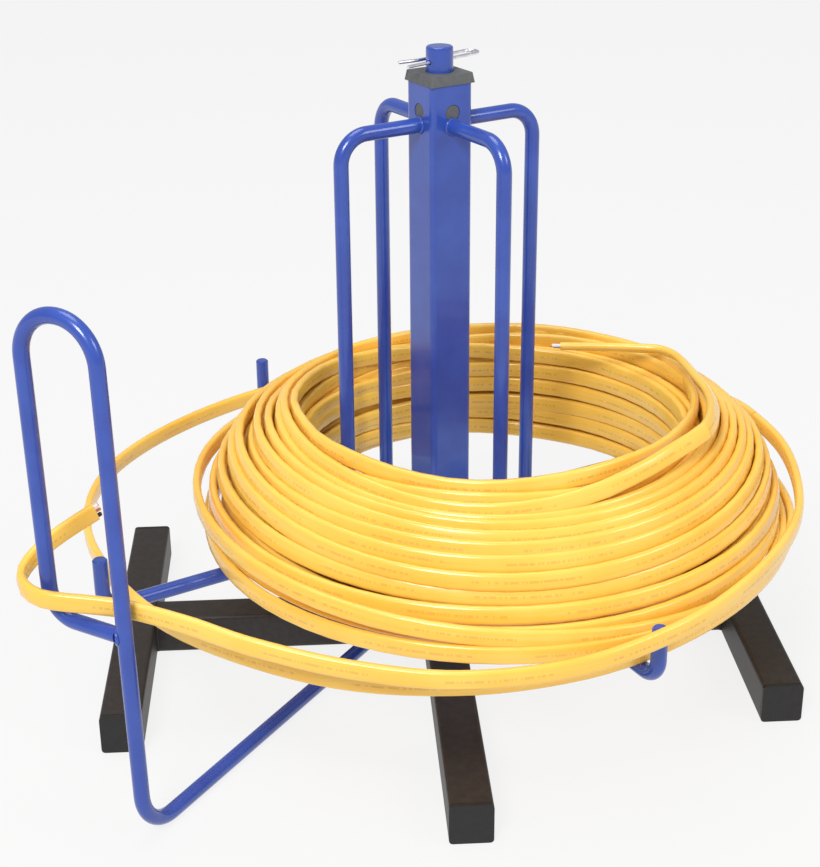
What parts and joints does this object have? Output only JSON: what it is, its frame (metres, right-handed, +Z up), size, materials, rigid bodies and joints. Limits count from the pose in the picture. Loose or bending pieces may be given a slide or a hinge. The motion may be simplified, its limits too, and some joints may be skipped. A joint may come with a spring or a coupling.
{
  "type": "wire feeder",
  "caption": "Free-standing dispenser: a coil of flat building cable turns on a carousel over a welded base, and is drawn off through a bent-rod guide.",
  "frame": {"origin": "on the floor under the spindle's axis, on the cross bar's underside", "axes": "+Z up along the spindle, +X along the cross bar towards the right foot, -Y along the centre bar towards its free end"},
  "size_m": [0.5207, 0.5304, 0.4385],
  "materials": {
    "black_coat": "satin textured powder coat",
    "black_plastic": "moulded",
    "blue_coat": "gloss powder coat",
    "grey_plastic": "moulded",
    "nylon": "moulded",
    "zinc": "bright zinc-plated spring wire",
    "yellow_sheath": "extruded PVC"
  },
  "bodies": {
    "base": {"left_foot": "black_coat", "right_foot": "black_coat", "cross_bar": "black_coat", "centre_bar": "black_coat", "left_foot_front_plug": "black_plastic", "left_foot_rear_plug": "black_plastic", "right_foot_front_plug": "black_plastic", "right_foot_rear_plug": "black_plastic", "centre_bar_plug": "black_plastic", "spindle": "blue_coat", "spindle_plate": "black_coat", "thrust_washer": "nylon", "guide_rod": "blue_coat", "lead": "yellow_sheath"},
    "carousel": {"post": "blue_coat", "top_cap": "grey_plastic", "lower_bushing": "nylon", "arm_1": "blue_coat", "arm_2": "blue_coat", "arm_3": "blue_coat", "arm_4": "blue_coat", "cage_rod_1": "blue_coat", "cage_rod_2": "blue_coat", "cage_rod_3": "blue_coat", "cage_rod_4": "blue_coat", "cable_coil": "yellow_sheath", "loose_turn": "yellow_sheath", "inner_end": "yellow_sheath"},
    "clip": {"hairpin_clip": "zinc"}
  },
  "joints": [
    {"name": "carousel_spin", "type": "hinge", "parent": "base", "child": "carousel", "pos_m": [0, 0, 0.2], "axis": [0, 0, 1], "continuous": true},
    {"name": "clip_pull", "type": "slide", "parent": "base", "child": "clip", "axis": [0.766, 0.6428, 0], "range_m": [0, 0.045]}
  ]
}
